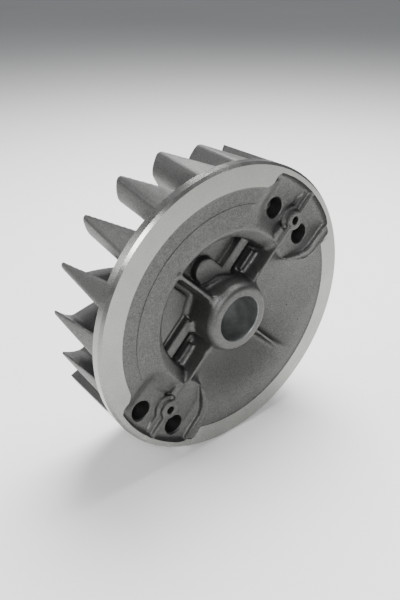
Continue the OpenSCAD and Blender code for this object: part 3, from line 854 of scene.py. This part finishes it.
# ---------------------------------------------------------- the small pieces
def softened(node, name, bevel, body, material):
    """A copy of a CAD node with its sharp edges broken."""
    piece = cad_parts[node].copy()
    piece.data = piece.data.copy()
    piece.name = name
    for key in [k for k in piece.keys() if k.startswith("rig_")]:
        del piece[key]
    piece.parent = None
    bpy.context.scene.collection.objects.link(piece)
    bm = bmesh.new()
    bm.from_mesh(piece.data)
    bmesh.ops.remove_doubles(bm, verts=bm.verts, dist=1e-6)
    bmesh.ops.dissolve_limit(bm, angle_limit=math.radians(1), verts=bm.verts, edges=bm.edges)
    bm.to_mesh(piece.data)
    bm.free()
    edge = piece.modifiers.new("edge", "BEVEL")
    edge.width = bevel * MM
    edge.segments = 2
    edge.limit_method = "ANGLE"
    edge.angle_limit = math.radians(35)
    apply_modifiers(piece)
    piece.data.shade_smooth()
    piece.data.set_sharp_from_angle(angle=math.radians(50))
    piece.data.materials.clear()
    piece.data.materials.append(material)
    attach(piece, body)
    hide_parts(node)
    return piece


def polar(r, degrees, z=0.0):
    a = math.radians(degrees)
    return np.array([r * math.cos(a), r * math.sin(a), z])


def coil_point(a):
    drop = (2 * WIRE_R + COIL_GAP) * a / 360
    return polar(COIL_R, COIL_START + a, -BOSS_TOP - WIRE_R - 0.1 - drop)


def rounded(corner, before, after):
    """Points that round off a corner of a wire."""
    a = corner + before / np.linalg.norm(before) * BEND_R
    b = corner + after / np.linalg.norm(after) * BEND_R
    ts = np.linspace(0, 1, 6)
    return [(1 - t) ** 2 * a + 2 * t * (1 - t) * corner + t * t * b for t in ts]


def spring_path():
    """Wire of a torsion spring round its pawl's pivot: a leg against the post,
    the coil, and a leg whose end hooks over the pawl."""
    start = coil_point(0) - polar(LEG_1, COIL_START + 90)
    corner = coil_point(COIL_TURN) + polar(LEG_2, COIL_START + COIL_TURN + 90)
    tip = corner - np.array([0, 0, HOOK])
    coil = [coil_point(a) for a in np.linspace(0, COIL_TURN, 180)]
    bend = rounded(corner, coil[-1] - corner, tip - corner)
    return np.array([start, *coil, *bend, tip])


def wire(name, path):
    """Round wire swept along a path, in the face frame."""
    sides = WIRE_SIDES
    along = np.gradient(path, axis=0)
    along /= np.linalg.norm(along, axis=1)[:, None]
    side = np.cross(along[0], [0, 0, 1])
    points = []
    for at, forward in zip(path, along):
        side = side - forward * side.dot(forward)
        side /= np.linalg.norm(side)
        up = np.cross(forward, side)
        for i in range(sides):
            a = 2 * math.pi * i / sides
            points.append(at + WIRE_R * (math.cos(a) * side + math.sin(a) * up))
    faces = [tuple(range(sides)), tuple(range(len(points) - 1, len(points) - 1 - sides, -1))]
    for ring in range(len(path) - 1):
        for i in range(sides):
            low, high = ring * sides + i, ring * sides + (i + 1) % sides
            faces.append((low, low + sides, high + sides, high))
    piece = new_object(name, to_row(points), faces)
    tidy = bmesh.new()
    tidy.from_mesh(piece.data)
    bmesh.ops.recalc_face_normals(tidy, faces=tidy.faces)
    tidy.to_mesh(piece.data)
    tidy.free()
    piece.data.shade_smooth()
    piece.data.set_sharp_from_angle(angle=math.radians(60))
    return piece


def pawl_springs(material):
    """Each pawl's torsion spring as a swept wire, which takes the place of the CAD spring."""
    for mark, side in (("a", 1), ("b", -1)):
        path = (spring_path() + (0, PIVOT_R, 0)) * (side, side, 1)
        piece = wire(f"spring_{mark}_piece", path)
        piece.data.materials.append(material)
        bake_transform(piece)
        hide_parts(f"pawl_spring_{mark}")


def finish_small_pieces():
    sintered = plain_metal("hardened_steel", (0.16, 0.155, 0.15), (0.26, 0.25, 0.24), 0.38, 0.52)
    zinc = plain_metal("bright_steel", (0.50, 0.50, 0.49), (0.66, 0.65, 0.62), 0.24, 0.36)
    oxide = plain_metal("black_steel", (0.035, 0.035, 0.037), (0.07, 0.07, 0.075), 0.3, 0.42)
    plates = plain_metal("lamination_steel", (0.20, 0.19, 0.18), (0.34, 0.32, 0.30), 0.4, 0.55)
    spring = plain_metal("spring_steel", (0.24, 0.235, 0.23), (0.42, 0.41, 0.40), 0.26, 0.36)
    ferrite = plain_metal("magnet", (0.07, 0.07, 0.072), (0.12, 0.12, 0.12), 0.5, 0.62)
    for mark in ("a", "b"):
        softened(f"starter_pawl_{mark}", f"pawl_{mark}_piece", 0.25, f"pawl_{mark}",
                 sintered)
        softened(f"pawl_bush_{mark}", f"bush_{mark}_piece", 0.15, "flywheel",
                 zinc)
        softened(f"pawl_washer_{mark}", f"washer_{mark}_piece", 0.12, "flywheel",
                 zinc)
        softened(f"pawl_screw_{mark}", f"screw_{mark}_piece", 0.12, "flywheel",
                 oxide)
    for node in ("leading_pole_shoe", "trailing_pole_shoe"):
        softened(node, f"{node}_piece", 0.06, "flywheel", plates)
    softened("ignition_magnet", "magnet_piece", 0.2, "flywheel", ferrite)
    softened("pole_shoe_rivets", "rivets_piece", 0.2, "flywheel", zinc)
    pawl_springs(spring)
    iron = plain_metal("iron", (0.2, 0.19, 0.18), (0.3, 0.29, 0.28), 0.5, 0.6)
    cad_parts["counterweight"].data.materials.clear()
    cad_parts["counterweight"].data.materials.append(iron)


# -------------------------------------------------------- studio and camera
CAMERA_PLACE = (-0.11419, -0.12685, 0.10414)
CAMERA_HEADING = 38.41         # degrees from +Y towards +X
CAMERA_PITCH = -30.06
CAMERA_ROLL = -0.26
CAMERA_LENS = 37.2


def camera():
    data = bpy.data.cameras.new("camera")
    data.lens = CAMERA_LENS
    data.clip_start = 0.01
    eye = bpy.data.objects.new("camera", data)
    bpy.context.scene.collection.objects.link(eye)
    turn = Euler((0, 0, math.radians(-CAMERA_HEADING))).to_matrix()
    tilt = Euler((math.radians(90 + CAMERA_PITCH), 0, 0)).to_matrix()
    roll = Euler((0, 0, math.radians(CAMERA_ROLL))).to_matrix()
    eye.matrix_world = Matrix.Translation(CAMERA_PLACE) @ (turn @ tilt @ roll).to_4x4()
    bpy.context.scene.camera = eye


def floor():
    half = 3.0
    z = CAD_BOX[0].z
    corners = [(-half, -half, z), (half, -half, z), (half, half, z), (-half, half, z)]
    piece = new_object("floor", np.array(corners), [(0, 1, 2, 3)])
    n = Nodes("floor")
    soft = n.noise(3, 2.0, 0.5)
    shade = n.blend(n.span(soft, 0.3, 0.7, 0, 1), (0.80, 0.795, 0.785), (0.83, 0.825, 0.815))
    piece.data.materials.append(n.finish(shade, 0.75, None, 0.0))


def area_light(name, place, aim, size, power):
    data = bpy.data.lights.new(name, "AREA")
    data.shape = "RECTANGLE"
    data.size, data.size_y = size
    data.energy = power
    light = bpy.data.objects.new(name, data)
    light.location = place
    direction = Vector(aim) - Vector(place)
    light.rotation_euler = direction.to_track_quat("-Z", "Y").to_euler()
    bpy.context.scene.collection.objects.link(light)


def studio():
    world = bpy.data.worlds.new("studio")
    world.use_nodes = True
    background = world.node_tree.nodes["Background"]
    background.inputs["Color"].default_value = (0.92, 0.96, 1.0, 1)
    background.inputs["Strength"].default_value = 0.25
    bpy.context.scene.world = world
    area_light("top_box", (0.17, 0.12, 0.43), (0.02, 0, 0), (0.36, 0.32), 8.0)
    area_light("front_box", (-0.31, -0.37, 0.38), (0, 0, 0), (0.18, 0.15), 2.6)
    area_light("side_box", (-0.36, 0.26, 0.3), (0, 0.01, 0), (0.3, 0.3), 1.4)


wheel_casting()
finish_small_pieces()
camera()
floor()
studio()
